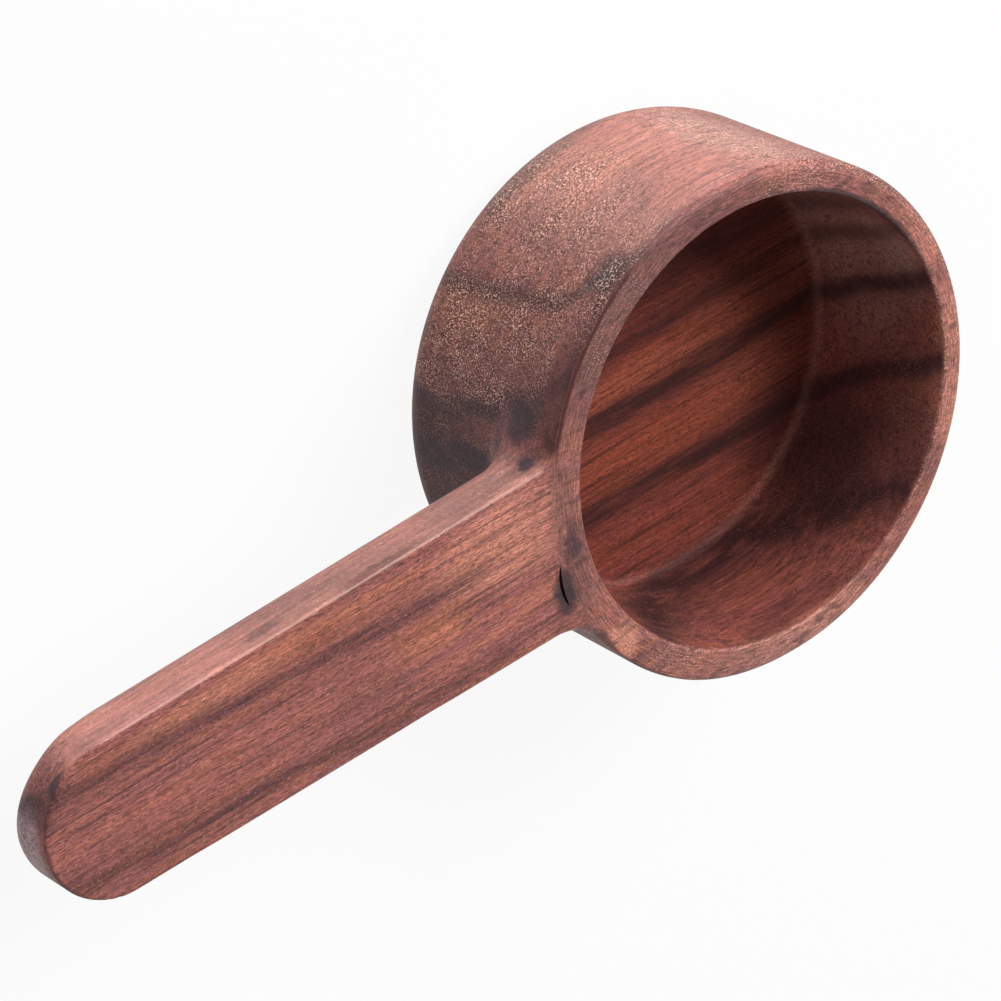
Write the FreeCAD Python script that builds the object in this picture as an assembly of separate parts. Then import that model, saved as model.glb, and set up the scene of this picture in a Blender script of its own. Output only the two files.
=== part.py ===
"""Wooden measuring spoon: a turned bowl, a flat handle let into its wall, and two hidden dowels.

The origin is on the bowl's axis at the base. Z points up through the open mouth, and the handle
runs along -X. All lengths are in millimetres.
"""
import FreeCAD, Part
import math
import os

# Bowl
bowl_rim_diameter = 52.0
bowl_base_diameter = 51.5
bowl_height = 24.5
bowl_wall = 3.2
bowl_floor = 6.2
base_edge_radius = 4.4
inner_corner_radius = 1.1
mouth_edge_radius = 0.4

# Handle
handle_reach = 84.8
handle_root_width = 17.4
handle_tip_width = 16.1
handle_thickness = 6.3
handle_lower_edge_radius = 2.0

# Blend between handle and bowl, and the upper edge that runs round both
root_flare_radius = 4.2
upper_edge_radius = 0.9

# Joint: a shallow housing in the bowl's wall, keyed by two blind dowels
housing_depth = 0.8
housing_margin = 0.6
dowel_diameter = 3.0
dowel_length = 12.0
dowel_spacing = 9.0
dowel_end_chamfer = 0.3
dowel_cover = 1.0
glue_gap = 0.05
glue_pocket = 0.4

# How far a cutting solid reaches past what it cuts, and how near a point counts as on a surface
overrun = 2.0
touch_distance = 0.001

rim_radius = bowl_rim_diameter / 2
base_radius = bowl_base_diameter / 2
mouth_radius = rim_radius - bowl_wall
tip_radius = handle_tip_width / 2
root_half_width = handle_root_width / 2

up = FreeCAD.Vector(0, 0, 1)
along_handle = FreeCAD.Vector(-1, 0, 0)


def wall_radius(level):
    """The radius of the bowl's outer wall at a height above the base: it leans out a little."""
    return base_radius + (rim_radius - base_radius) * level / bowl_height


def leaning_core(inset, bottom, top):
    """A round core whose side follows the bowl's wall, set in from it, between two levels."""
    return Part.makeCone(wall_radius(bottom) - inset, wall_radius(top) - inset, top - bottom, up * bottom)


def edges_at_level(shape, level):
    return [
        edge for edge in shape.Edges
        if abs(edge.BoundBox.ZMin - level) < touch_distance and edge.BoundBox.ZLength < touch_distance
    ]


def bowl_blank():
    """The bowl before it is hollowed, with its lower edge rounded."""
    blank = leaning_core(0, 0, bowl_height)
    return blank.makeFillet(base_edge_radius, edges_at_level(blank, 0))


def hollow():
    """What is turned out of the bowl: an even wall and a cove where it meets the floor."""
    core = leaning_core(bowl_wall, bowl_floor, bowl_height + overrun)
    return core.makeFillet(inner_corner_radius, edges_at_level(core, bowl_floor))


def handle_outline():
    """The handle seen from above: two tapering sides that run tangent into a round end."""
    tip_centre = tip_radius - handle_reach
    root_run = -rim_radius - tip_centre
    root_distance = math.hypot(root_run, root_half_width)
    tangent_angle = math.atan2(root_half_width, root_run) + math.acos(tip_radius / root_distance)
    tangent_x = tip_centre + tip_radius * math.cos(tangent_angle)
    tangent_y = tip_radius * math.sin(tangent_angle)
    slope = (root_half_width - tangent_y) / (-rim_radius - tangent_x)
    inner_y = root_half_width + slope * bowl_wall
    left_root = FreeCAD.Vector(-mouth_radius, inner_y, 0)
    right_root = FreeCAD.Vector(-mouth_radius, -inner_y, 0)
    left_tangent = FreeCAD.Vector(tangent_x, tangent_y, 0)
    right_tangent = FreeCAD.Vector(tangent_x, -tangent_y, 0)
    tip = FreeCAD.Vector(-handle_reach, 0, 0)
    return Part.Face(Part.Wire([
        Part.makeLine(left_root, left_tangent),
        Part.Arc(left_tangent, tip, right_tangent).toShape(),
        Part.makeLine(right_tangent, right_root),
        Part.makeLine(right_root, left_root),
    ]))


def handle_blank():
    """The handle as a flat slab under the rim's level, its lower edge rounded from root to root."""
    underside = bowl_height - handle_thickness
    outline = handle_outline()
    outline.translate(up * underside)
    slab = outline.extrude(up * handle_thickness)
    lower_edges = [
        edge for edge in edges_at_level(slab, underside)
        if edge.BoundBox.XMin < -mouth_radius - touch_distance
    ]
    return slab.makeFillet(handle_lower_edge_radius, lower_edges)


def is_junction(edge):
    """Whether an edge is where the handle's sides and underside meet the bowl's wall."""
    middle = edge.valueAt((edge.FirstParameter + edge.LastParameter) / 2)
    on_wall = abs(math.hypot(middle.x, middle.y) - wall_radius(middle.z)) < touch_distance
    below_rim = edge.BoundBox.ZMin < bowl_height - touch_distance
    return on_wall and below_rim and middle.x < 0 and middle.z > base_edge_radius


def spoon_body():
    """Bowl and handle as one form, blended at the root, with its upper edges eased and the bowl hollowed."""
    body = bowl_blank().fuse(handle_blank()).removeSplitter()
    body = body.makeFillet(root_flare_radius, [edge for edge in body.Edges if is_junction(edge)])
    body = body.makeFillet(upper_edge_radius, edges_at_level(body, bowl_height))
    body = body.cut(hollow())
    mouth_edges = [
        edge for edge in edges_at_level(body, bowl_height)
        if edge.BoundBox.XMax < mouth_radius + touch_distance
        and edge.BoundBox.XMin > -mouth_radius - touch_distance
    ]
    return body.makeFillet(mouth_edge_radius, mouth_edges)


def handle_space():
    """The space that belongs to the handle: outside the seam, as wide and deep as the flared root."""
    flare_centre = root_half_width + root_flare_radius
    flare_reach = flare_centre * rim_radius / (rim_radius + root_flare_radius)
    half_width = flare_reach + housing_margin
    lowest = bowl_height - handle_thickness - root_flare_radius - housing_margin
    block = Part.makeBox(
        handle_reach + overrun,
        2 * half_width,
        bowl_height + overrun - lowest,
        FreeCAD.Vector(-handle_reach - overrun, -half_width, lowest),
    )
    lower_sides = [edge for edge in edges_at_level(block, lowest) if edge.BoundBox.XLength > handle_reach]
    block = block.makeFillet(root_flare_radius, lower_sides)
    return block.cut(leaning_core(housing_depth, lowest - overrun, bowl_height + 2 * overrun))


def dowel_start(side):
    """The middle of a dowel's end in the bowl's wall. Side is 1 on the left and -1 on the right."""
    level = bowl_height - handle_thickness / 2
    nearest_y = (dowel_spacing - dowel_diameter) / 2
    wall_x = -math.sqrt((wall_radius(level) - bowl_wall) ** 2 - nearest_y ** 2)
    return FreeCAD.Vector(wall_x - dowel_cover, side * dowel_spacing / 2, level)


def dowel(side):
    pin = Part.makeCylinder(dowel_diameter / 2, dowel_length, dowel_start(side), along_handle)
    ends = [edge for edge in pin.Edges if edge.BoundBox.XLength < touch_distance]
    return pin.makeChamfer(dowel_end_chamfer, ends)


def dowel_hole(side):
    """The hole for a dowel, from its seat in the bowl to a pocket for spare glue in the handle."""
    return Part.makeCylinder(
        dowel_diameter / 2 + glue_gap,
        dowel_length + glue_pocket,
        dowel_start(side),
        along_handle,
    )


def main():
    body = spoon_body()
    space = handle_space()
    holes = dowel_hole(1).fuse(dowel_hole(-1))
    pieces = {
        "bowl": body.cut(space).cut(holes),
        "handle": body.common(space).cut(holes),
        "dowel_left": dowel(1),
        "dowel_right": dowel(-1),
    }
    os.makedirs("parts", exist_ok=True)
    for name, shape in pieces.items():
        shape.exportStep("parts/" + name + ".step")
        print(name, len(shape.Solids), "solid", shape.isValid(), round(shape.Volume, 2), "mm3")


main()
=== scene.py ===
"""Looks of the wooden measuring spoon: oiled dark wood with streaks, end-grain flecks, knots and a split.

Lengths are in millimetres, in the frame of the solids: the origin is on the bowl's axis at the base,
Z points up through the mouth and the handle runs along -X. They become metres when a mesh is made.
"""
import math

import bmesh
import bpy
import numpy as np
import openvdb
from mathutils import Matrix, Vector


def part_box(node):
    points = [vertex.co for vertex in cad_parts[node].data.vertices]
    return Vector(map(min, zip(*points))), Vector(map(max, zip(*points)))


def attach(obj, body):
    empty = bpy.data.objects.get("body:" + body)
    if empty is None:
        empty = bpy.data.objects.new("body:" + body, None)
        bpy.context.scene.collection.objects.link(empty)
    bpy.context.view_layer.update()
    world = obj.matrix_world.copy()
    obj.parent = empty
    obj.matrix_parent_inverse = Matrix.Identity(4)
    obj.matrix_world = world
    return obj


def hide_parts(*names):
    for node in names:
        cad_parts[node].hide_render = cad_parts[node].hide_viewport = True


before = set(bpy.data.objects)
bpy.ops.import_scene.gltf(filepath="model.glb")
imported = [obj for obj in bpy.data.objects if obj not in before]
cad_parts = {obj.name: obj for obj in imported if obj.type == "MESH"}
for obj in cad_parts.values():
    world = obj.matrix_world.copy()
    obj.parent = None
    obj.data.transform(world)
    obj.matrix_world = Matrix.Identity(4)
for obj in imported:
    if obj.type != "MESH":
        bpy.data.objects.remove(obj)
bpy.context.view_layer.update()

millimetre = 0.001

# Form: the values of the solids, and the upper edge, crisp at the handle and softer at the far rim
bowl_height = 24.5
base_radius = 25.75
rim_radius = 26.0
bowl_wall = 3.2
bowl_floor = 6.2
base_edge_radius = 4.4
inner_corner_radius = 1.1
mouth_edge_radius = 0.4
handle_reach = 84.8
root_half_width = 8.7
tip_radius = 8.05
handle_thickness = 6.3
handle_lower_edge_radius = 2.0
handle_overlap = 2 * bowl_wall
root_flare_radius = 4.2
near_edge_radius = 0.32
far_edge_radius = 1.2
edge_change = (-18, 0)

# Hand finishing: the mouth is a little off centre, the flare at the rim's level is tight on the left and
# wide on the right, the upper edge is rubbed down in the corner on the right of the handle, and the
# lower edge is rounder on the left, most of all at the tip
mouth_offset = (0.38, -0.1)
left_top_flare_radius = 1.3
right_top_flare_radius = 3.8
flare_depth = 4.5
side_change = 4.0
left_lower_edge_radius = 2.35
tip_corner = (-81.0, 6.0)
tip_corner_reach = 7.5
tip_corner_radius = 3.4
rubbed_corner = (-24.4, -11.0)
rubbed_reach = 5.0
rubbed_radius = 1.5

# Joint between the two main pieces
housing_depth = 0.8
housing_margin = 0.6
glue_gap = 0.05
overrun = 2.0

# Split in the handle's root: its middle, half its length and width, how far it bows and how deep it goes
split_middle = (-26.05, -3.95)
split_half_length = 2.2
split_half_width = 0.26
split_foot_share = 0.5
split_bow = -0.35
split_depth = 1.4
split_sides = 16

# Mesh. Faces that turn further than the angle from the form's own slope are seams, holes or the split.
mesh_step = 0.36
mesh_margin = 1.2
slope_step = 0.01
landing_rounds = 4
round_corner_steps = 10
core_sides = 240
hole_sides = 60
outside_angle = 40

# Camera, fitted to the rim, the base and the handle's sides in the photograph
picture_side = 1001
focal_pixels = 5000
sensor_width = 36.0
camera_place = (-239.81, 246.451, 354.863)
camera_right = (0.763046, -0.188338, 0.618296)
camera_up = (0.457675, 0.832913, -0.31111)
camera_back = (-0.456393, 0.52037, 0.721749)

# How a picture's colours are written
full_tone = 255
tone_offset = 0.055
tone_scale = 1.055
tone_power = 2.4


def colour(red, green, blue):
    """A colour as written in a picture, 0 to 255, as the shader takes it."""
    shares = (value / full_tone for value in (red, green, blue))
    return tuple(((share + tone_offset) / tone_scale) ** tone_power for share in shares) + (1.0,)


# Looks. A fade is written as its start and end, and the values there where they aren't 0 and 1.
# A grain is written as the length of its lumps along X, Y and Z, its detail and an offset of its own.
# A place is written as its middle, how far it reaches along X, Y and Z, and how strong it is.
red_brown = colour(153, 92, 87)
warm_brown = colour(176, 107, 84)
bright_brown = colour(208, 138, 116)
dull_brown = colour(90, 55, 57)
streak_brown = colour(64, 37, 41)
ink_grey = colour(46, 36, 43)
pore_brown = colour(60, 32, 32)
# Rose wood colour, also used for painted sheen on the sides and painted light on the far inner wall
rose_grain_and_painted_light = colour(202, 160, 146)
# A grey for painted sheen: reflected light on end grain
sheen_grey = colour(206, 174, 174)
pale_fleck = colour(230, 198, 184)
tan_fleck = colour(240, 196, 174)
# Painted shade in the rim's crease
crease_red = colour(60, 18, 20)
# Painted shade: this tint darkens the inside of the bowl
inside_shade_tint = colour(200, 164, 152)
end_tint = (0.1, 0.1, 0.2, 1.0)
white = (1.0, 1.0, 1.0, 1.0)
spot_core_share = 0.4
noise_middle = 0.5

# Where the inside of the bowl and the flat of its rim are, and how far the grain is calmed on that flat
inside_radii = (24.0, 23.4)
inside_foot = (3.0, 5.0)
inside_top = (24.45, 24.2)
rim_flat_radii = (26.2, 25.9)
rim_flat_levels = (24.1, 24.4)
rim_calm_share = 0.35

# Layers of the wood lie along X. They lean with the height, drift sideways along the handle, and bend on
# the wall at the left.
layer_tilt = 0.4
handle_drift = (-84, -38, 0.9, -1.8)
root_drift = (-38, -18, 0.0, 2.1)
lower_bend = {"level": 16.8, "highest": 18.5, "slope": 0.3}
upper_bend = {"level": 19.6, "slope": 0.36}
bend_sides = (13, 18)
broad_wave_grain = ((40, 8, 8), 2, 3.1)
broad_wave_size = 2.4
broad_waves_on_left = (10, 17, 1.0, 0.2)
fine_wave_grain = ((6, 0.5, 0.5), 4, 7.3)
fine_wave_size = 2.0
fine_waves_on_left = (10, 17, 1.0, 0.5)
fine_waves_on_ends = (0.5, 0.9, 1.0, 0.2)

# Dark streak layers: the middle, half the width and the strength
streak_layers = {
    "right_wall": (-22.5, 1.0, 0.5),
    "right_floor": (-16.4, 1.9, 1.0),
    "faint": (-10.6, 0.8, 0.25),
    "right_handle": (-5.3, 1.4, 1.0),
    "left_handle": (4.1, 1.4, 1.0),
    "left_floor": (10.8, 1.1, 0.7),
    "left_inner": (15.2, 1.5, 0.7),
}
streak_core_share = 0.1
streak_halo_share = 2.6
streak_halo_strength_share = 0.45
streak_inside_share = 1.65
streak_width_grain = ((14, 5, 5), 2, 6.6)
streak_width_size = 0.9
streak_break_grain = ((9, 1.2, 1.2), 3, 5.7)
streak_breaks = (0.34, 0.56, 0.65, 1.0)
streaks_on_ends = (0.5, 0.9, 0.0, 0.9)
streak_comb_grain = ((11, 0.2, 0.2), 2, 13.7)
streak_combing = (0.36, 0.58, 0.7, 1.0)
streak_rim_share = 0.55
streaks_along = (-34, -24, 0.8, 0.95)
joint_clearing = ((-27.5, 0.0, 24.5), (9.0, 14.0, 3.0), 0.5)
joint_clearing_share = 0.8
wall_band = {"level": 22.55, "half_width": 1.35, "sides": (12, 15), "along": (-6, -10), "strength": 0.78}
minor_streak_grain = ((15, 0.55, 0.55), 3, 12.1)
minor_streaks = (0.54, 0.68, 0.0, 0.6)
rim_smudge_grain = ((2.6, 1.1, 1.1), 3, 14.9)
rim_smudges = (0.5, 0.68, 0.0, 0.62)

# Places that differ, in the wood and in painted light, sheen and shade, and how their outlines wander
wander_scale = 0.8
wander_detail = 4.0
wander_size = 1.8
knots = {
    "split_halo": ((-26.1, -4.6, 24.0), (1.7, 3.4, 5.0), 0.92),
    "split_smear": ((-24.1, -0.2, 24.0), (1.1, 2.8, 5.0), 0.6),
    "round_knot": ((-26.4, 9.3, 22.65), (1.5, 1.5, 1.4), 0.92),
    "round_halo": ((-26.4, 9.3, 22.65), (2.6, 2.2, 2.0), 0.4),
    "wall_patch": ((-23.8, 11.3, 19.7), (3.2, 3.1, 3.0), 0.88),
    "upper_patch": ((-22.7, 12.6, 21.2), (1.6, 1.6, 1.6), 0.6),
    "upper_vein": ((-23.8, 10.3, 13.5), (2.0, 1.2, 6.5), 0.6),
    "lower_vein": ((-24.2, 9.0, 5.0), (2.0, 1.3, 7.0), 0.55),
    "vein_link": ((-25.2, 8.5, 17.0), (2.0, 2.2, 1.3), 0.6),
    "root_vein": ((-25.3, 5.6, 12.5), (2.0, 1.7, 5.5), 0.7),
    "low_root_vein": ((-25.4, 3.9, 5.6), (2.0, 2.0, 6.5), 0.55),
    "tip_patch": ((-83.9, 3.7, 21.4), (1.8, 1.7, 7.0), 0.42),
    "tip_edge": ((-81.6, 5.9, 23.9), (2.2, 1.8, 0.9), 0.8),
    "left_wall_top": ((-12.8, 22.6, 22.4), (4.0, 2.6, 2.8), 0.62),
    "handle_side": ((-45.0, 8.4, 23.9), (7.0, 1.0, 1.0), 0.5),
    "side_smear": ((-57.8, 8.3, 22.8), (3.0, 1.2, 0.8), 0.4),
}
warm_places = {
    "floor_middle": ((0.0, -8.2, 6.2), (19.0, 4.0, 4.0), 0.9),
    "floor_upper": ((0.0, 0.2, 6.2), (17.0, 3.2, 4.0), 0.9),
    "inner_wall": ((20.5, -9.0, 20.0), (4.0, 5.0, 6.0), 0.6),
    "wall_root": ((-19.5, 17.2, 7.0), (3.0, 3.0, 8.0), 0.7),
    "handle_middle": ((-41.0, -0.3, 24.5), (7.0, 2.6, 2.0), 0.9),
    "handle_edge": ((-58.0, 6.2, 24.5), (26.0, 1.7, 2.0), 0.7),
}
# Painted light: the far inner wall, dim under the lamps, is lifted towards a pale rose colour
inner_painted_light_places = {
    "far_wall": ((22.0, 9.0, 13.5), (6.0, 19.0, 11.2), 0.65),
    "far_upper": ((21.5, 6.5, 20.0), (4.0, 10.0, 5.2), 0.85),
}
# Painted sheen: a grey veil of reflected light on the tip's end grain, and a painted reflection under the
# right of the handle's root
painted_sheen_places = {
    "tip": ((-84.8, 0.4, 20.6), (2.6, 6.6, 3.9), 0.95),
    "right_flare": ((-25.2, -10.6, 21.4), (2.4, 2.2, 2.9), 0.45),
}
rose_places = {
    "lower_rim": ((-4.0, -24.5, 24.4), (17.0, 6.0, 1.5), 0.15),
    "left_wall_far": ((9.0, 24.4, 14.0), (6.0, 3.0, 12.0), 0.35),
    "rubbed_corner": ((-24.6, -11.4, 23.2), (2.4, 2.4, 2.0), 0.6),
}
bright_places = {
    "joint": ((-31.0, 4.0, 24.5), (12.0, 6.0, 4.0), 0.65),
    "handle_edge": ((-66.0, 6.0, 24.5), (12.0, 1.6, 2.0), 0.35),
    "rim_patch": ((-21.3, -13.2, 24.4), (3.2, 2.9, 2.4), 1.0),
    "far_rim": ((24.0, -8.0, 24.4), (6.0, 15.0, 2.5), 0.55),
    "right_rim": ((22.0, 10.0, 24.4), (4.0, 7.0, 2.0), 0.5),
    "lower_rim": ((2.0, -24.0, 24.4), (9.0, 3.0, 1.2), 0.35),
    "floor_upper": ((-1.0, -0.9, 6.2), (15.0, 3.0, 4.0), 0.6),
    "left_wall": ((3.0, 25.8, 11.0), (10.0, 3.0, 5.0), 0.15),
    # Painted light: the far part of the floor, which lies in the wall's shade, is made brighter
    "floor_far_painted_light": ((13.0, -3.0, 6.2), (11.0, 12.0, 3.0), 0.4),
}
dull_places = {
    "near_rim": ((-12.0, 20.5, 24.5), (25.0, 15.0, 1.6), 0.68),
    "root_rim": ((-24.3, 0.0, 24.5), (2.4, 12.0, 2.0), 0.62),
    # inner_corner: dark wood bands, deepened with painted shade
    "inner_corner": ((14.5, -15.0, 12.0), (9.0, 10.0, 10.0), 0.9),
    "inner_right": ((19.0, -12.5, 19.0), (5.0, 7.0, 8.0), 0.5),
    "base_band": ((-6.0, 24.6, 3.4), (13.0, 5.0, 2.8), 0.85),
    "left_wall": ((-11.0, 23.4, 13.0), (4.0, 4.0, 9.0), 0.22),
    "floor_left": ((6.0, 8.0, 6.2), (18.0, 6.5, 4.0), 0.1),
    # Dark wood, and painted shade on the low wall under the handle's root
    "low_wall_wood_and_shade": ((-26.0, 1.0, 5.0), (9.0, 12.0, 15.0), 0.75),
    "handle_low": ((-49.0, -3.2, 24.5), (9.0, 2.2, 2.0), 0.35),
    "handle_root": ((-33.0, 9.2, 21.5), (8.0, 2.5, 4.0), 0.65),
    "tip_corner": ((-82.2, 6.2, 21.0), (2.6, 2.4, 4.0), 0.2),
    "right_root": ((-26.2, -8.6, 24.5), (4.0, 3.6, 2.0), 0.4),
    "upper_rim": ((17.0, 17.0, 24.5), (14.0, 12.0, 1.4), 0.2),
    "side_middle": ((-53.0, 8.4, 22.4), (9.5, 2.5, 3.5), 0.35),
    "upper_wall": ((-8.0, 24.6, 18.5), (6.5, 4.0, 7.0), 0.2),
}
# Places with flecks, whose brightness is painted glints
fleck_places = {
    "wall_middle": ((-9.0, 24.2, 10.0), (12.0, 5.0, 13.0), 0.95),
    "wall_root": ((-19.4, 17.0, 11.0), (4.0, 4.4, 15.0), 1.0),
    "root_wall": ((-22.5, 12.5, 9.0), (5.0, 6.0, 12.0), 0.8),
    "wall_top": ((-14.0, 21.8, 22.4), (7.0, 4.0, 3.4), 1.0),
    "upper_rim": ((9.0, 22.0, 24.5), (9.0, 3.0, 1.2), 0.45),
    "lower_rim": ((-14.5, -18.0, 24.5), (6.0, 4.0, 1.2), 0.5),
    "inner_wall": ((21.0, -9.0, 20.0), (6.0, 7.0, 7.0), 0.25),
    "near_rim": ((-17.0, 14.0, 24.6), (14.0, 16.0, 0.9), 0.42),
}

# Fibres, dashes and pores along the grain. On the handle's and bowl's sides they are stronger or weaker.
tone_grain = ((22, 1.6, 1.6), 3, 1.9)
warm_tones = (0.4, 0.66, 0.0, 0.6)
fibre_grain = ((8, 0.42, 0.42), 3, 2.3)
fibre_size = 1.15
fibres_on_sides = (0.6, 0.95, 1.0, 1.8)
hair_grain = ((2.4, 0.14, 0.14), 2, 4.9)
hair_size = 1.5
# Painted sheen: faces turned to the sides are lifted towards a paler rose
sheen_on_sides = (0.75, 1.0, 0.0, 0.22)
dash_grain = ((0.45, 0.12, 0.12), 2, 8.3)
dashes_on_sides = (0.6, 0.95, 2.2, 1.3)
rim_speck_grain = ((0.22, 0.18, 0.18), 2, 6.4)
rim_speck_size = 3.4
pale_dash_grain = ((0.34, 0.15, 0.15), 2, 3.7)
pale_dashes = (0.6, 0.74, 0.0, 0.36)
pale_inside_share = 0.35
rim_rose_share = 0.07
pore_grain = ((0.8, 0.12, 0.12), 1, 9.7)
pore_edges = (0.58, 0.7)
pore_sides = (0.6, 0.95)
pore_strength = 0.7
side_pore_strength = (-34, -24, 0.25, 0.6)

# End grain is darker outside, and the inside of the bowl is darkened with a tint, painted shade in its
# hollow
dark_first_slopes = (0.2, 0.6, 0.0, 0.38)
dark_last_slopes = (0.6, 1.0, 0.0, 0.28)
dark_ends_along = (-70, -50, 0.45, 1.0)
tinted_floor_slopes = (0.5, 0.9)
tinted_wall_slopes = (0.5, 0.95, 0.65, 0.0)

# Flecks of cut fibre, their brightness painted glints, and the smooth parts of the wall that have none
fleck_patch_grain = ((5, 2.5, 2.5), 3, 4.4)
fleck_patches = (0.36, 0.6, 0.45, 1.0)
flecks_on_ends = (0.08, 0.36, 0.0, 0.56)
flecks_on_square_ends = (0.8, 0.95, 1.0, 0.5)
flecks_inside_share = 0.15
flecks_along = (-50, -40, 0.4, 1.0)
fleck_grain = ((0.24, 0.14, 0.14), 2, 11.9)
fleck_tops = (0.55, 0.635)
fleck_pits = (0.52, 0.36)
fleck_pit_strength = 0.6
smooth_wall = {
    "below_rim": (20.5, 22.3),
    "along": (-17.5, -19.5),
    "flare": ((-26.5, 10.5, 19.5), (4.5, 4.5, 6.0)),
}

# Lines: a painted highlight in the cove, painted shade along the far edge of the mouth, lines round the rim
# with painted shade in its crease, and the handle's upper edge, worn pale and with a painted highlight
cove_start = (21.7, 22.2)
cove_end = (23.6, 23.2)
cove_levels = (7.3, 6.7)
cove_along = (0.0, 14.0, 0.02, 0.09)
mouth_line_start = (22.55, 22.85)
mouth_line_end = (23.5, 23.15)
mouth_line_place = ((16.0, 15.0, 24.3), (10.0, 14.0, 1.4), 0.5)
mouth_line_strength = 0.7
rim_line_grain = ((0.16, 1.8, 1.0), 2, 0.0)
rim_line_tones = (0.3, 0.7, -0.44, 0.26)
rim_lines_on_patch_share = 0.25
crease_radii = (25.2, 25.62, 26.12)
crease_place = ((-18.5, 17.0, 24.3), (11.0, 11.0, 3.0), 0.75)
crease_strength = 0.95
corner_first_slopes = (0.2, 0.5)
corner_last_slopes = (0.97, 0.8)
corner_levels = (23.3, 23.8)
pale_edge_from_root = (-25.0, -26.5)
# The handle's upper edge: worn pale, and lighter with a painted highlight
pale_edge_to_tip = (-79, -74)
pale_edge_strength = 0.28

# Oil finish
oil_gloss = 0.22
dash_roughness = (-0.3, 0.3, 0.5, 0.62)
inside_roughness = 0.16
dash_height_share = 0.5
bump_strength = 0.5
bump_depth = 0.05

# Raw wood of the dowels
dark_dowel = colour(196, 160, 120)
pale_dowel = colour(222, 190, 150)
dowel_grain = ((9, 0.25, 0.25), 3, 6.1)
dowel_tones = (0.3, 0.7)
dowel_roughness = (0.3, 0.7, 0.6, 0.75)
dowel_bump_strength = 0.3

# Studio: a pale floor, a low broad light on the left, a softer one overhead, and two faint ones for the
# shaded sides
floor_grey = colour(232, 232, 232)
floor_half_side = 3000.0
floor_shadow_share = 0.08
side_light = {"place": (-10, 460, 60), "aim": (-20, 0, 12), "size": (760, 150), "power": 1.6}
top_light = {"place": (330, 330, 480), "aim": (-20, 0, 12), "size": (360, 360), "power": 5.4}
fill_light = {"place": (-420, 60, 330), "aim": (0, 0, 15), "size": (300, 300), "power": 0.16}
back_light = {"place": (40, -450, 80), "aim": (-20, 0, 12), "size": (500, 150), "power": 0.42}
sky_strength = 0.12


def wall_radius(level):
    return base_radius + (rim_radius - base_radius) * level / bowl_height


def round_common(first, second, radius):
    """Where both forms are, with the edge between them rounded."""
    corner = np.hypot(np.maximum(first + radius, 0), np.maximum(second + radius, 0))
    return np.minimum(-radius, np.maximum(first, second)) + corner


def round_union(first, second, radius):
    """Where either form is, with a rounded blend between them."""
    corner = np.hypot(np.maximum(radius - first, 0), np.maximum(radius - second, 0))
    return np.maximum(radius, np.minimum(first, second)) - corner


def smooth_share(value, low, high):
    share = np.clip((value - low) / (high - low), 0, 1)
    return share * share * (3 - 2 * share)


def handle_plan(x, y):
    """Distance from the handle's outline seen from above: tapering sides tangent to a round end."""
    tip_centre = tip_radius - handle_reach
    root_run = -rim_radius - tip_centre
    root_distance = math.hypot(root_run, root_half_width)
    lean = math.atan2(root_half_width, root_run) - math.asin(tip_radius / root_distance)
    run = x - tip_centre
    side = np.abs(y)
    along = run * math.cos(lean) + side * math.sin(lean)
    across = side * math.cos(lean) - run * math.sin(lean)
    return np.where(along > 0, across, np.hypot(run, side)) - tip_radius


def upper_edge_radius(x, y):
    """The rounding of the upper edge: crisp on the handle, soft on the far rim and in the rubbed corner."""
    radius = near_edge_radius + (far_edge_radius - near_edge_radius) * smooth_share(x, *edge_change)
    corner_distance = np.hypot(x - rubbed_corner[0], y - rubbed_corner[1])
    rubbed = 1 - smooth_share(corner_distance, 0, rubbed_reach)
    return radius + (rubbed_radius - near_edge_radius) * rubbed


def lower_edge_radius(x, y):
    """The rounding of the handle's lower edge: fuller on the left, most of all at the left of the tip."""
    left = smooth_share(y, -side_change, side_change)
    radius = handle_lower_edge_radius + (left_lower_edge_radius - handle_lower_edge_radius) * left
    corner_distance = np.hypot(x - tip_corner[0], y - tip_corner[1])
    worn = 1 - smooth_share(corner_distance, 0, tip_corner_reach)
    return radius + (tip_corner_radius - left_lower_edge_radius) * worn


def flare_radius(y, z):
    """The radius of the blend at the handle's root: at the rim's level it differs from side to side."""
    left = smooth_share(y, -side_change, side_change)
    top_radius = right_top_flare_radius + (left_top_flare_radius - right_top_flare_radius) * left
    near_top = smooth_share(z, bowl_height - flare_depth, bowl_height)
    return root_flare_radius + (top_radius - root_flare_radius) * near_top


def spoon_form(x, y, z):
    """Negative inside the wood and positive outside, near enough in millimetres."""
    wall = wall_radius(z)
    cup = round_common(np.hypot(x, y) - wall, -z, base_edge_radius)
    underside = bowl_height - handle_thickness
    slab = round_common(handle_plan(x, y), underside - z, lower_edge_radius(x, y))
    slab = np.maximum(slab, x + rim_radius - handle_overlap)
    outside = round_union(cup, slab, flare_radius(y, z))
    outside = round_common(outside, z - bowl_height, upper_edge_radius(x, y))
    from_mouth = np.hypot(x - mouth_offset[0], y - mouth_offset[1])
    hollow = round_common(from_mouth - wall + bowl_wall, bowl_floor - z, inner_corner_radius)
    return round_common(outside, -hollow, mouth_edge_radius)


def form_slope(points):
    """The direction in which the form's value grows at each point, as unit vectors."""
    slopes = []
    for axis in range(3):
        offset = np.zeros(3)
        offset[axis] = slope_step
        slopes.append(spoon_form(*(points + offset).T) - spoon_form(*(points - offset).T))
    slope = np.stack(slopes, 1)
    return slope / np.linalg.norm(slope, axis=1, keepdims=True)


def land_on_form(points):
    """Points moved onto the form's surface."""
    for _ in range(landing_rounds):
        points = points - form_slope(points) * spoon_form(*points.T)[:, None]
    return points


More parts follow.
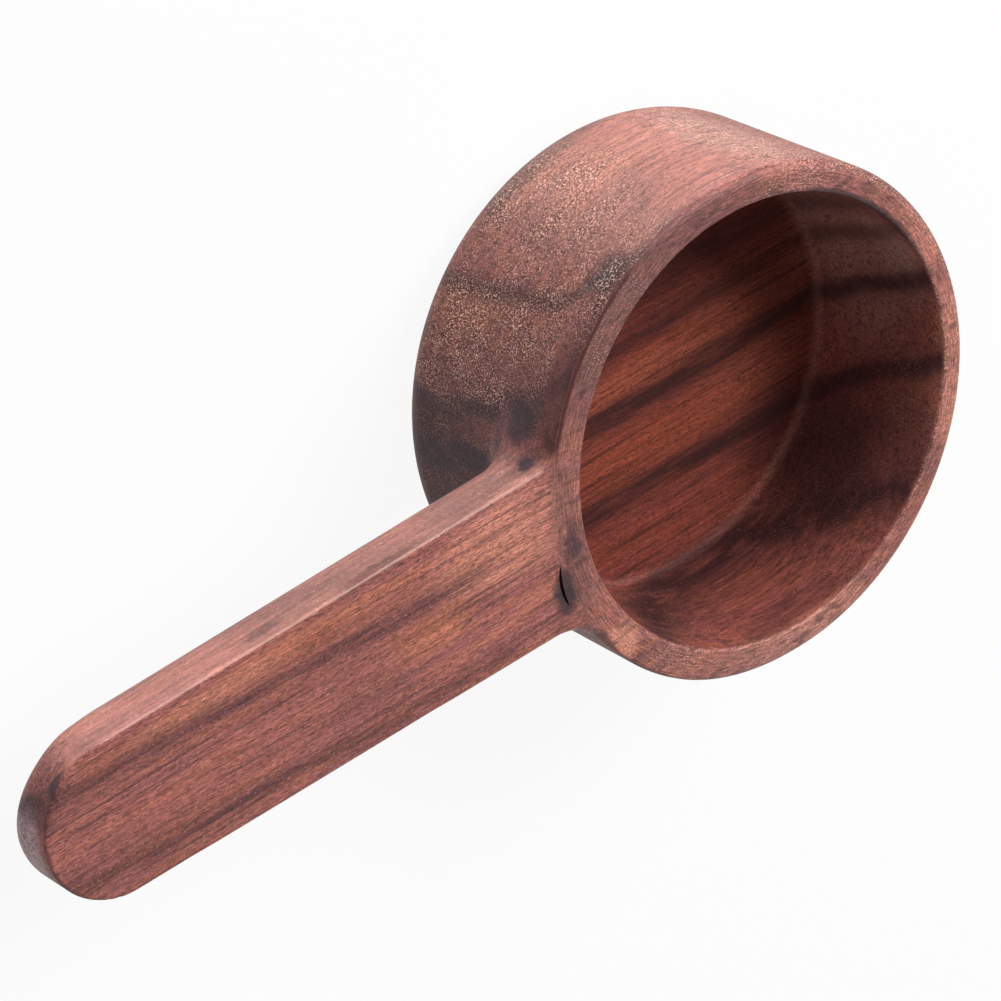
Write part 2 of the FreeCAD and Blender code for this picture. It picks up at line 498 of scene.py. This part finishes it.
def spoon_mesh():
    """The whole outside of the spoon as one closed mesh."""
    low = np.array([-handle_reach, -rim_radius, 0]) - mesh_margin
    high = np.array([rim_radius, rim_radius, bowl_height]) + mesh_margin
    axes = [np.arange(start, end, mesh_step) for start, end in zip(low, high)]
    values = spoon_form(*np.meshgrid(*axes, indexing="ij"))
    grid = openvdb.FloatGrid(mesh_margin)
    grid.copyFromArray(values.astype(np.float32))
    points, quads = grid.convertToQuads(0)
    points = land_on_form(low + np.asarray(points, float) * mesh_step)
    mesh = bpy.data.meshes.new("spoon")
    mesh.from_pydata(points * millimetre, [], np.asarray(quads).tolist())
    return mesh


def mesh_from(build):
    """A new mesh from a function that fills a bmesh in millimetres."""
    shape = bmesh.new()
    build(shape)
    bmesh.ops.scale(shape, vec=Vector((millimetre,) * 3), verts=shape.verts)
    bmesh.ops.recalc_face_normals(shape, faces=shape.faces)
    mesh = bpy.data.meshes.new("tool")
    shape.to_mesh(mesh)
    shape.free()
    return mesh


def prism(shape, lower, upper):
    """A closed solid between two outlines with as many points each."""
    first = [shape.verts.new(point) for point in lower]
    last = [shape.verts.new(point) for point in upper]
    shape.faces.new(first)
    shape.faces.new(last)
    for here in range(len(first)):
        after = (here + 1) % len(first)
        shape.faces.new((first[here], first[after], last[after], last[here]))


def housing_block(shape):
    """A block along the handle, as wide and deep as its flared root, with rounded lower corners."""
    flare_reach = (root_half_width + root_flare_radius) * rim_radius / (rim_radius + root_flare_radius)
    half_width = flare_reach + housing_margin
    lowest = bowl_height - handle_thickness - root_flare_radius - housing_margin
    outline = [(half_width, bowl_height + overrun)]
    for side in (1, -1):
        for step in range(round_corner_steps + 1):
            turn = math.pi / 2 * step / round_corner_steps
            if side < 0:
                turn = math.pi / 2 - turn
            reach = half_width - root_flare_radius * (1 - math.cos(turn))
            outline.append((side * reach, lowest + root_flare_radius * (1 - math.sin(turn))))
    outline.append((-half_width, bowl_height + overrun))
    prism(
        shape,
        [(-handle_reach - overrun, y, z) for y, z in outline],
        [(0, y, z) for y, z in outline],
    )


def seam_core(shape):
    """The round core that the seam follows, set in from the bowl's wall."""
    top = bowl_height + 2 * overrun
    bmesh.ops.create_cone(
        shape,
        cap_ends=True,
        segments=core_sides,
        radius1=wall_radius(0) - housing_depth,
        radius2=wall_radius(top) - housing_depth,
        depth=top,
        matrix=Matrix.Translation((0, 0, top / 2)),
    )


def split_blade(shape):
    """A thin bowed blade that cuts the split, narrower at its foot."""
    top, foot = [], []
    for step in range(2 * split_sides):
        turn = math.pi * step / split_sides
        along = math.cos(turn)
        x = split_middle[0] + split_bow * (1 - along ** 2)
        y = split_middle[1] + split_half_length * along
        reach = split_half_width * math.sin(turn)
        top.append((x + reach, y, bowl_height + overrun))
        foot.append((x + reach * split_foot_share, y, bowl_height - split_depth))
    prism(shape, foot, top)


def dowel_hole(dowel):
    """What a dowel takes from the pieces that it joins: its own room and a glue gap."""
    low, high = (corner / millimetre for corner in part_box(dowel))
    middle = (low + high) / 2

    def build(shape):
        bmesh.ops.create_cone(
            shape,
            cap_ends=True,
            segments=hole_sides,
            radius1=(high.y - low.y) / 2 + glue_gap,
            radius2=(high.y - low.y) / 2 + glue_gap,
            depth=high.x - low.x + 2 * glue_gap,
            matrix=Matrix.Translation(middle) @ Matrix.Rotation(math.pi / 2, 4, "Y"),
        )

    return mesh_from(build)


def carved(mesh, tool, operation):
    """A mesh cut by another one, or kept only inside it."""
    wood = bpy.data.objects.new("wood", mesh)
    cutter = bpy.data.objects.new("cutter", tool)
    for thing in (wood, cutter):
        bpy.context.scene.collection.objects.link(thing)
    cut = wood.modifiers.new("cut", "BOOLEAN")
    cut.solver = "MANIFOLD"
    cut.operation = operation
    cut.object = cutter
    made = bpy.data.meshes.new_from_object(wood.evaluated_get(bpy.context.evaluated_depsgraph_get()))
    bpy.data.objects.remove(wood)
    bpy.data.objects.remove(cutter)
    return made


def smooth_shading(mesh):
    """Shade the outside by the form's own slope, and leave seams, holes and the split flat."""
    mesh.polygons.foreach_set("use_smooth", np.ones(len(mesh.polygons), bool))
    points = np.zeros(len(mesh.vertices) * 3)
    mesh.vertices.foreach_get("co", points)
    slope = form_slope(points.reshape(-1, 3) / millimetre)
    corner_points = np.zeros(len(mesh.loops), int)
    mesh.loops.foreach_get("vertex_index", corner_points)
    face_normals = np.zeros(len(mesh.polygons) * 3)
    mesh.polygons.foreach_get("normal", face_normals)
    corners = np.zeros(len(mesh.polygons), int)
    mesh.polygons.foreach_get("loop_total", corners)
    flat = np.repeat(face_normals.reshape(-1, 3), corners, axis=0)
    rounded = slope[corner_points]
    outside = (flat * rounded).sum(1, keepdims=True) > math.cos(math.radians(outside_angle))
    mesh.normals_split_custom_set(np.where(outside, rounded, flat).tolist())


def add_piece(name, mesh, material, solid):
    piece = bpy.data.objects.new(name, mesh)
    bpy.context.scene.collection.objects.link(piece)
    mesh.materials.clear()
    mesh.materials.append(material)
    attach(piece, "root")
    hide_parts(solid)


def build_pieces(material):
    spoon = spoon_mesh()
    space = carved(mesh_from(housing_block), mesh_from(seam_core), "DIFFERENCE")
    bowl = carved(spoon, space, "DIFFERENCE")
    handle = carved(spoon, space, "INTERSECT")
    for dowel in ("dowel_left", "dowel_right"):
        hole = dowel_hole(dowel)
        bowl = carved(bowl, hole, "DIFFERENCE")
        handle = carved(handle, hole, "DIFFERENCE")
    handle = carved(handle, mesh_from(split_blade), "DIFFERENCE")
    for mesh in (bowl, handle):
        smooth_shading(mesh)
    add_piece("scoop_bowl", bowl, material, "bowl")
    add_piece("scoop_handle", handle, material, "handle")


def add_camera():
    lens = bpy.data.cameras.new("photo_camera")
    lens.sensor_width = sensor_width
    lens.lens = sensor_width * focal_pixels / picture_side
    camera = bpy.data.objects.new("photo_camera", lens)
    turn = Matrix((camera_right, camera_up, camera_back)).transposed()
    camera.matrix_world = Matrix.Translation(Vector(camera_place) * millimetre) @ turn.to_4x4()
    bpy.context.scene.collection.objects.link(camera)
    bpy.context.scene.camera = camera


def node(tree, kind, inputs, **settings):
    """A shader node with its settings, and its inputs set or joined."""
    made = tree.nodes.new("ShaderNode" + kind)
    for name, value in settings.items():
        setattr(made, name, value)
    for name, value in inputs.items():
        if isinstance(value, bpy.types.NodeSocket):
            tree.links.new(value, made.inputs[name])
        else:
            made.inputs[name].default_value = value
    return made


def calc(tree, operation, *values):
    return node(tree, "Math", dict(enumerate(values)), operation=operation).outputs[0]


def product(tree, *values):
    result = values[0]
    for value in values[1:]:
        result = calc(tree, "MULTIPLY", result, value)
    return result


def opposite(tree, share):
    return calc(tree, "SUBTRACT", 1.0, share)


def vector(tree, operation, *values):
    return node(tree, "VectorMath", dict(enumerate(values)), operation=operation).outputs[0]


def scaled(tree, value, size):
    return node(tree, "VectorMath", {0: value, "Scale": size}, operation="SCALE").outputs[0]


def length(tree, value):
    return node(tree, "VectorMath", {0: value}, operation="LENGTH").outputs["Value"]


def parts_of(tree, value):
    return node(tree, "SeparateXYZ", {0: value}).outputs


def fade(tree, value, start, end, low=0.0, high=1.0):
    """Goes smoothly from low to high while the value goes from start to end."""
    span = {"Value": value, "From Min": start, "From Max": end, "To Min": low, "To Max": high}
    return node(tree, "MapRange", span, interpolation_type="SMOOTHSTEP").outputs["Result"]


def between(tree, share, low, high):
    """Goes smoothly from low to high with a share."""
    return fade(tree, share, 0.0, 1.0, low, high)


def blend(tree, share, first, second, way="MIX"):
    inputs = {0: share, 6: first, 7: second}
    return node(tree, "Mix", inputs, data_type="RGBA", blend_type=way).outputs[2]


def tinted(tree, paint, tint):
    return blend(tree, 1.0, paint, tint, "MULTIPLY")


def shaded(tree, paint, value):
    """A colour made darker or lighter by a value."""
    return tinted(tree, paint, node(tree, "CombineColor", {0: value, 1: value, 2: value}).outputs[0])


def noise(tree, place, lengths, detail, offset):
    """Noise whose lumps are about as long as given along X, Y and Z."""
    stretched = vector(tree, "MULTIPLY", place, [1 / lump for lump in lengths])
    moved = vector(tree, "ADD", stretched, (offset, offset, offset))
    return node(tree, "TexNoise", {"Vector": moved, "Scale": 1.0, "Detail": detail}).outputs["Fac"]


def centred(tree, value, size):
    """Noise as an offset either way, up to half the size."""
    return calc(tree, "MULTIPLY", calc(tree, "SUBTRACT", value, noise_middle), size)


def spot(tree, place, middle, reach, core_share=spot_core_share):
    """1 inside a soft ellipsoid and 0 outside it."""
    offset = vector(tree, "SUBTRACT", place, middle)
    distance = length(tree, vector(tree, "MULTIPLY", offset, [1 / side for side in reach]))
    return fade(tree, distance, 1.0, core_share)


def strongest(tree, place, places):
    """The strongest of several soft places at a point."""
    share = None
    for middle, reach, strength in places.values():
        here = calc(tree, "MULTIPLY", spot(tree, place, middle, reach), strength)
        share = here if share is None else calc(tree, "MAXIMUM", share, here)
    return share


def wood_place(tree):
    """A point's place in the wood, in millimetres."""
    return scaled(tree, node(tree, "TexCoord", {}).outputs["Object"], 1 / millimetre)


def wandering(tree, place):
    """The place with small irregular offsets, so that soft places get ragged outlines."""
    inputs = {"Vector": place, "Scale": wander_scale, "Detail": wander_detail}
    drift = vector(tree, "SUBTRACT", node(tree, "TexNoise", inputs).outputs["Color"], (noise_middle,) * 3)
    return vector(tree, "ADD", place, scaled(tree, drift, wander_size))


def surface_direction(tree):
    return parts_of(tree, node(tree, "NewGeometry", {}).outputs["Normal"])


def axis_distance(tree, place):
    x, y, _ = parts_of(tree, place)
    return length(tree, node(tree, "CombineXYZ", {0: x, 1: y}).outputs[0])


def mouth_distance(tree, place):
    return axis_distance(tree, vector(tree, "SUBTRACT", place, mouth_offset + (0.0,)))


def inside_bowl(tree, place):
    """1 on the floor and inner wall of the bowl, and 0 elsewhere."""
    near = fade(tree, mouth_distance(tree, place), *inside_radii)
    z = parts_of(tree, place)[2]
    return product(tree, near, fade(tree, z, *inside_foot), fade(tree, z, *inside_top))


def rim_flat(tree, place):
    """1 on the flat ring round the mouth, and 0 elsewhere."""
    ring = fade(tree, axis_distance(tree, place), *rim_flat_radii)
    return product(tree, ring, fade(tree, parts_of(tree, place)[2], *rim_flat_levels))


def layer_bend(tree, z):
    """How far the layers of the left wall bend aside at a height."""
    low = calc(tree, "MINIMUM", z, lower_bend["highest"])
    down = calc(tree, "MULTIPLY", calc(tree, "SUBTRACT", lower_bend["level"], low), lower_bend["slope"])
    high = calc(tree, "MAXIMUM", z, upper_bend["level"])
    up = calc(tree, "MULTIPLY", calc(tree, "SUBTRACT", high, upper_bend["level"]), upper_bend["slope"])
    return calc(tree, "ADD", down, up)


def layer_waves(tree, place, y, ends):
    """How ragged the layers are: more along the grain than on end grain, and least on the left."""
    broad = centred(tree, noise(tree, place, *broad_wave_grain), broad_wave_size)
    broad = calc(tree, "MULTIPLY", broad, fade(tree, y, *broad_waves_on_left))
    fine = centred(tree, noise(tree, place, *fine_wave_grain), fine_wave_size)
    on_left = fade(tree, y, *fine_waves_on_left)
    fine = product(tree, fine, on_left, fade(tree, ends, *fine_waves_on_ends))
    return calc(tree, "ADD", broad, fine)


def layer_level(tree, place, ends):
    """Which layer of the wood a point is in."""
    x, y, z = parts_of(tree, place)
    lean = calc(tree, "MULTIPLY", calc(tree, "SUBTRACT", z, bowl_height), layer_tilt)
    level = calc(tree, "SUBTRACT", y, lean)
    level = calc(tree, "SUBTRACT", level, fade(tree, x, *handle_drift))
    level = calc(tree, "SUBTRACT", level, fade(tree, x, *root_drift))
    bend = calc(tree, "MULTIPLY", layer_bend(tree, z), fade(tree, y, *bend_sides))
    level = calc(tree, "SUBTRACT", level, bend)
    return calc(tree, "ADD", level, layer_waves(tree, place, y, ends))


def streak_darkness(tree, place, level, inside):
    """How dark the streak layers are at a point before they break up. They are wider in the bowl."""
    wave = centred(tree, noise(tree, place, *streak_width_grain), streak_width_size)
    width = calc(tree, "ADD", between(tree, inside, 1.0, streak_inside_share), wave)
    share = None
    for middle, half_width, strength in streak_layers.values():
        distance = calc(tree, "ABSOLUTE", calc(tree, "SUBTRACT", level, middle))
        fitted = calc(tree, "DIVIDE", distance, width)
        core = fade(tree, fitted, half_width, streak_core_share * half_width, 0.0, strength)
        halo_strength = streak_halo_strength_share * strength
        halo = fade(tree, distance, streak_halo_share * half_width, 0.0, 0.0, halo_strength)
        here = calc(tree, "MAXIMUM", core, halo)
        share = here if share is None else calc(tree, "MAXIMUM", share, here)
    return share


def streak_share(tree, place, level, inside, ends):
    """How much of the streaks shows: broken and combed along the grain, and faded at joint and rim."""
    share = streak_darkness(tree, place, level, inside)
    broken = fade(tree, noise(tree, place, *streak_break_grain), *streak_breaks)
    broken = calc(tree, "MAXIMUM", broken, fade(tree, ends, *streaks_on_ends))
    joint = spot(tree, place, *joint_clearing)
    kept = opposite(tree, calc(tree, "MULTIPLY", joint, joint_clearing_share))
    combed = fade(tree, noise(tree, place, *streak_comb_grain), *streak_combing)
    combed = calc(tree, "MAXIMUM", combed, inside)
    on_rim = between(tree, rim_flat(tree, place), 1.0, streak_rim_share)
    return product(tree, share, broken, kept, combed, on_rim)


def wall_streak(tree, place, level):
    """The dark layer that bends across the bowl's outer wall on the left."""
    x, y, _ = parts_of(tree, place)
    distance = calc(tree, "ABSOLUTE", calc(tree, "SUBTRACT", level, wall_band["level"]))
    band = fade(tree, distance, wall_band["half_width"], 0.0)
    on_left = fade(tree, y, *wall_band["sides"])
    return product(tree, band, on_left, fade(tree, x, *wall_band["along"]), wall_band["strength"])


def all_streaks(tree, place, level, inside, ends, calm):
    """The streak layers, the fine streaks between them and the smudges on the rim."""
    on_handle = fade(tree, parts_of(tree, place)[0], *streaks_along)
    streaks = calc(tree, "MULTIPLY", streak_share(tree, place, level, inside, ends), on_handle)
    streaks = calc(tree, "MAXIMUM", streaks, wall_streak(tree, place, level))
    minor = fade(tree, noise(tree, place, *minor_streak_grain), *minor_streaks)
    streaks = calc(tree, "MAXIMUM", streaks, calc(tree, "MULTIPLY", minor, calm))
    smudges = fade(tree, noise(tree, place, *rim_smudge_grain), *rim_smudges)
    return calc(tree, "MAXIMUM", streaks, calc(tree, "MULTIPLY", smudges, rim_flat(tree, place)))


def ground(tree, place, ragged, inside):
    """The wood between the streaks: red-brown, with warmer, brighter and duller places, some of them painted
    light, sheen and shade.
    """
    tone = fade(tree, noise(tree, place, *tone_grain), *warm_tones)
    paint = blend(tree, tone, red_brown, warm_brown)
    paint = blend(tree, strongest(tree, ragged, warm_places), paint, warm_brown)
    paint = blend(tree, strongest(tree, ragged, bright_places), paint, bright_brown)
    paint = blend(tree, strongest(tree, ragged, rose_places), paint, rose_grain_and_painted_light)
    # Painted sheen and reflection in grey
    paint = blend(tree, strongest(tree, ragged, painted_sheen_places), paint, sheen_grey)
    # Painted light on the far inner wall
    paint = blend(tree, product(tree, strongest(tree, ragged, inner_painted_light_places), inside), paint, rose_grain_and_painted_light)
    return blend(tree, strongest(tree, ragged, dull_places), paint, dull_brown)


def fibre_tone(tree, place, sides, calm):
    """Long fibres and short hairs along the grain: darker or lighter than 1."""
    fibres = centred(tree, noise(tree, place, *fibre_grain), fibre_size)
    fibres = calc(tree, "MULTIPLY", fibres, fade(tree, sides, *fibres_on_sides))
    hairs = centred(tree, noise(tree, place, *hair_grain), hair_size)
    tone = calc(tree, "MULTIPLY", calc(tree, "ADD", fibres, hairs), calm)
    return calc(tree, "ADD", tone, 1.0)


def dash_height(tree, place, sides, calm):
    """Short dashes along the grain, and specks instead of them on the rim: above or below 0."""
    dashes = centred(tree, noise(tree, place, *dash_grain), fade(tree, sides, *dashes_on_sides))
    specks = centred(tree, noise(tree, place, *rim_speck_grain), rim_speck_size)
    specks = calc(tree, "MULTIPLY", specks, opposite(tree, calm))
    return calc(tree, "ADD", calc(tree, "MULTIPLY", dashes, calm), specks)


def pale_share(tree, place, inside, calm):
    """Small pale dashes, fewer inside the bowl."""
    pale = fade(tree, noise(tree, place, *pale_dash_grain), *pale_dashes)
    return product(tree, pale, calm, between(tree, inside, 1.0, pale_inside_share))


def pore_share(tree, place, pores, sides, calm):
    """How dark the pores are: weaker on the sides, most of all along the handle."""
    on_sides = fade(tree, parts_of(tree, place)[0], *side_pore_strength)
    return product(tree, pores, calm, fade(tree, sides, *pore_sides, pore_strength, on_sides))


def dark_end_share(tree, place, ends, outside):
    """How much darker the end grain is outside, less so towards the handle's tip."""
    first = fade(tree, ends, *dark_first_slopes)
    dark = calc(tree, "ADD", first, fade(tree, ends, *dark_last_slopes))
    return product(tree, dark, outside, fade(tree, parts_of(tree, place)[0], *dark_ends_along))


def inside_shade_share(tree, inside, facing, ends):
    """Where the inside is darkened with painted shade: on the floor, and on the wall's long grain."""
    on_floor = fade(tree, facing[2], *tinted_floor_slopes)
    where = calc(tree, "MAXIMUM", on_floor, fade(tree, ends, *tinted_wall_slopes))
    return calc(tree, "MULTIPLY", inside, where)


def smooth_wall_share(tree, place, inside):
    """The parts of the outer wall that are smooth: under the rim near the handle, and the flare."""
    x, _, z = parts_of(tree, place)
    below_rim = fade(tree, z, *smooth_wall["below_rim"])
    near_handle = fade(tree, x, *smooth_wall["along"])
    smooth = product(tree, below_rim, near_handle, between(tree, inside, 1.0, 0.0))
    return calc(tree, "MAXIMUM", smooth, spot(tree, place, *smooth_wall["flare"]))


def fleck_share(tree, place, ragged, ends, inside):
    """Where bright flecks lie, cut fibre with painted glints: most on the wall's end grain, and none on its
    smooth parts.
    """
    patches = fade(tree, noise(tree, place, *fleck_patch_grain), *fleck_patches)
    across = product(tree, fade(tree, ends, *flecks_on_ends), fade(tree, ends, *flecks_on_square_ends))
    on_handle = fade(tree, parts_of(tree, place)[0], *flecks_along)
    across = product(tree, across, between(tree, inside, 1.0, flecks_inside_share), on_handle)
    where = product(tree, calc(tree, "MAXIMUM", across, strongest(tree, ragged, fleck_places)), patches)
    smooth = smooth_wall_share(tree, place, inside)
    rough = opposite(tree, calc(tree, "MAXIMUM", smooth, strongest(tree, ragged, knots)))
    lifted = calc(tree, "MAXIMUM", rough, spot(tree, place, *knots["left_wall_top"][:2]))
    return calc(tree, "MULTIPLY", where, lifted)


def with_flecks_and_glints(tree, paint, place, flecked):
    """A paint with bright flecks, painted glints on cut fibre, and the dark pits between them."""
    on_dark_band = spot(tree, place, *knots["left_wall_top"][:2])
    flecks = blend(tree, on_dark_band, tan_fleck, pale_fleck)
    grains = noise(tree, place, *fleck_grain)
    pits = product(tree, flecked, fade(tree, grains, *fleck_pits), fleck_pit_strength)
    paint = shaded(tree, paint, opposite(tree, pits))
    return blend(tree, product(tree, flecked, fade(tree, grains, *fleck_tops)), paint, flecks)


def painted_cove_highlight(tree, place):
    """A painted highlight where the bowl's wall curves into its floor, strongest on the far side."""
    radius = mouth_distance(tree, place)
    x, _, z = parts_of(tree, place)
    line = product(tree, fade(tree, radius, *cove_start), fade(tree, radius, *cove_end))
    line = product(tree, line, fade(tree, z, *cove_levels))
    return calc(tree, "MULTIPLY", line, fade(tree, x, *cove_along))


def mouth_edge_shade(tree, place):
    """Painted shade: a dark line along the far edge of the mouth."""
    radius = mouth_distance(tree, place)
    line = product(tree, fade(tree, radius, *mouth_line_start), fade(tree, radius, *mouth_line_end))
    return product(tree, line, spot(tree, place, *mouth_line_place), mouth_line_strength)


def rim_lines(tree, place):
    """Fine broken lines round the rim's flat, left by turning: darker or lighter than 1."""
    x, y, _ = parts_of(tree, place)
    turn = calc(tree, "MULTIPLY", calc(tree, "ARCTAN2", y, x), rim_radius)
    along = node(tree, "CombineXYZ", {0: axis_distance(tree, place), 1: turn}).outputs[0]
    lines = fade(tree, noise(tree, along, *rim_line_grain), *rim_line_tones)
    patch = spot(tree, place, *bright_places["rim_patch"][:2])
    shown = product(tree, rim_flat(tree, place), between(tree, patch, 1.0, rim_lines_on_patch_share))
    return calc(tree, "ADD", 1.0, calc(tree, "MULTIPLY", lines, shown))


def rim_crease_shade(tree, place):
    """Painted shade: a dark red line along the rim's outer edge, in the crease between rim and wall."""
    radius = axis_distance(tree, place)
    inner, middle, outer = crease_radii
    line = product(tree, fade(tree, radius, inner, middle), fade(tree, radius, outer, middle))
    return product(tree, line, spot(tree, place, *crease_place), crease_strength)


def worn_and_highlit_edge(tree, place, facing):
    """The rounding of the handle's upper edge, worn pale, with a painted highlight on top of the wear."""
    x, _, z = parts_of(tree, place)
    up = facing[2]
    leaning = product(tree, fade(tree, up, *corner_first_slopes), fade(tree, up, *corner_last_slopes))
    corner = calc(tree, "MULTIPLY", leaning, fade(tree, z, *corner_levels))
    along_handle = product(tree, fade(tree, x, *pale_edge_from_root), fade(tree, x, *pale_edge_to_tip))
    return product(tree, corner, along_handle, pale_edge_strength)


def with_lines(tree, paint, place, facing):
    """A paint with the cove's painted highlight, painted shade along the mouth and in the rim's crease, the
    rim's lines, and the handle's worn and highlit edge.
    """
    # Painted highlight in the cove
    paint = blend(tree, painted_cove_highlight(tree, place), paint, bright_brown)
    # Painted shade along the far edge of the mouth
    paint = blend(tree, mouth_edge_shade(tree, place), paint, ink_grey)
    paint = shaded(tree, paint, rim_lines(tree, place))
    # Painted shade in the rim's crease
    paint = blend(tree, rim_crease_shade(tree, place), paint, crease_red)
    # The handle's worn edge with a painted highlight
    return blend(tree, worn_and_highlit_edge(tree, place, facing), paint, pale_fleck)


def finish_with_oil(tree, shader, inside, dashes, pores):
    """The oil's gloss, and the fine relief of dashes and pores."""
    shader.inputs["Specular IOR Level"].default_value = oil_gloss
    duller_inside = between(tree, inside, 0.0, inside_roughness)
    rough = calc(tree, "ADD", fade(tree, dashes, *dash_roughness), duller_inside)
    tree.links.new(rough, shader.inputs["Roughness"])
    height = calc(tree, "SUBTRACT", calc(tree, "MULTIPLY", dashes, dash_height_share), pores)
    relief = {"Strength": bump_strength, "Distance": bump_depth * millimetre, "Height": height}
    tree.links.new(node(tree, "Bump", relief).outputs[0], shader.inputs["Normal"])


def body_wood():
    material = bpy.data.materials.new("body_wood")
    material.use_nodes = True
    tree = material.node_tree
    shader = tree.nodes["Principled BSDF"]
    place = wood_place(tree)
    ragged = wandering(tree, place)
    inside = inside_bowl(tree, place)
    outside = opposite(tree, inside)
    on_rim = rim_flat(tree, place)
    calm = between(tree, on_rim, 1.0, rim_calm_share)
    facing = surface_direction(tree)
    ends = calc(tree, "ABSOLUTE", facing[0])
    sides = calc(tree, "ABSOLUTE", facing[1])
    level = layer_level(tree, place, ends)
    dashes = dash_height(tree, place, sides, calm)
    pores = fade(tree, noise(tree, place, *pore_grain), *pore_edges)

    paint = shaded(tree, ground(tree, place, ragged, inside), fibre_tone(tree, place, sides, calm))
    paint = blend(tree, all_streaks(tree, place, level, inside, ends, calm), paint, streak_brown)
    # Painted sheen on the faces turned to the sides
    paint = blend(tree, product(tree, fade(tree, sides, *sheen_on_sides), outside), paint, rose_grain_and_painted_light)
    paint = shaded(tree, paint, calc(tree, "ADD", dashes, 1.0))
    paint = blend(tree, pale_share(tree, place, inside, calm), paint, pale_fleck)
    paint = blend(tree, between(tree, on_rim, 0.0, rim_rose_share), paint, rose_grain_and_painted_light)
    paint = blend(tree, pore_share(tree, place, pores, sides, calm), paint, pore_brown)
    paint = blend(tree, dark_end_share(tree, place, ends, outside), paint, tinted(tree, paint, end_tint))
    # Painted shade: the inside of the bowl is darkened by a tint
    inner_share = inside_shade_share(tree, inside, facing, ends)
    paint = blend(tree, inner_share, paint, tinted(tree, paint, inside_shade_tint))
    paint = blend(tree, strongest(tree, ragged, knots), paint, ink_grey)
    # Flecks with painted glints
    paint = with_flecks_and_glints(tree, paint, place, fleck_share(tree, place, ragged, ends, inside))
    paint = with_lines(tree, paint, place, facing)
    tree.links.new(paint, shader.inputs["Base Color"])
    finish_with_oil(tree, shader, inside, dashes, pores)
    return material


def dowel_wood():
    material = bpy.data.materials.new("dowel_wood")
    material.use_nodes = True
    tree = material.node_tree
    shader = tree.nodes["Principled BSDF"]
    fibres = noise(tree, wood_place(tree), *dowel_grain)
    paint = blend(tree, fade(tree, fibres, *dowel_tones), dark_dowel, pale_dowel)
    tree.links.new(paint, shader.inputs["Base Color"])
    tree.links.new(fade(tree, fibres, *dowel_roughness), shader.inputs["Roughness"])
    relief = {"Strength": dowel_bump_strength, "Distance": bump_depth * millimetre, "Height": fibres}
    tree.links.new(node(tree, "Bump", relief).outputs[0], shader.inputs["Normal"])
    return material


def dress_dowels():
    raw_wood = dowel_wood()
    for name in ("dowel_left", "dowel_right"):
        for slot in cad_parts[name].material_slots:
            slot.material = raw_wood


def seen_directly(tree):
    """1 for what the camera sees, straight or in a reflection, and 0 for light on the object."""
    path = node(tree, "LightPath", {}).outputs
    share = calc(tree, "MAXIMUM", path["Is Camera Ray"], path["Is Glossy Ray"])
    return calc(tree, "MAXIMUM", share, path["Is Transmission Ray"])


def floor_material():
    """Pale, and lifted to white where it is seen, so that only a soft shadow shows."""
    material = bpy.data.materials.new("floor")
    material.use_nodes = True
    tree = material.node_tree
    tree.nodes.remove(tree.nodes["Principled BSDF"])
    matt = node(tree, "BsdfDiffuse", {"Color": floor_grey})
    glow = node(tree, "Emission", {"Color": white, "Strength": 1.0})
    lift = calc(tree, "MULTIPLY", seen_directly(tree), 1 - floor_shadow_share)
    mixed = node(tree, "MixShader", {0: lift, 1: matt.outputs[0], 2: glow.outputs[0]})
    tree.links.new(mixed.outputs[0], tree.nodes["Material Output"].inputs["Surface"])
    return material


def add_floor():
    def build(shape):
        bmesh.ops.create_grid(shape, x_segments=1, y_segments=1, size=floor_half_side)

    mesh = mesh_from(build)
    mesh.materials.append(floor_material())
    floor = bpy.data.objects.new("floor", mesh)
    bpy.context.scene.collection.objects.link(floor)


def add_lamp(name, place, aim, size, power):
    lamp = bpy.data.lights.new(name, "AREA")
    lamp.shape = "RECTANGLE"
    lamp.size = size[0] * millimetre
    lamp.size_y = size[1] * millimetre
    lamp.energy = power
    thing = bpy.data.objects.new(name, lamp)
    thing.location = Vector(place) * millimetre
    thing.rotation_euler = (Vector(aim) - Vector(place)).to_track_quat("-Z", "Y").to_euler()
    bpy.context.scene.collection.objects.link(thing)


def add_sky():
    """White where it is seen past the floor, and dim as a light."""
    world = bpy.data.worlds.new("studio")
    world.use_nodes = True
    tree = world.node_tree
    sky = tree.nodes["Background"]
    sky.inputs["Color"].default_value = white
    tree.links.new(between(tree, seen_directly(tree), sky_strength, 1.0), sky.inputs["Strength"])
    bpy.context.scene.world = world


def add_studio():
    add_floor()
    add_lamp("side_light", **side_light)
    add_lamp("top_light", **top_light)
    add_lamp("fill_light", **fill_light)
    add_lamp("back_light", **back_light)
    add_sky()
    bpy.context.scene.view_settings.view_transform = "Standard"


build_pieces(body_wood())
dress_dowels()
add_camera()
add_studio()
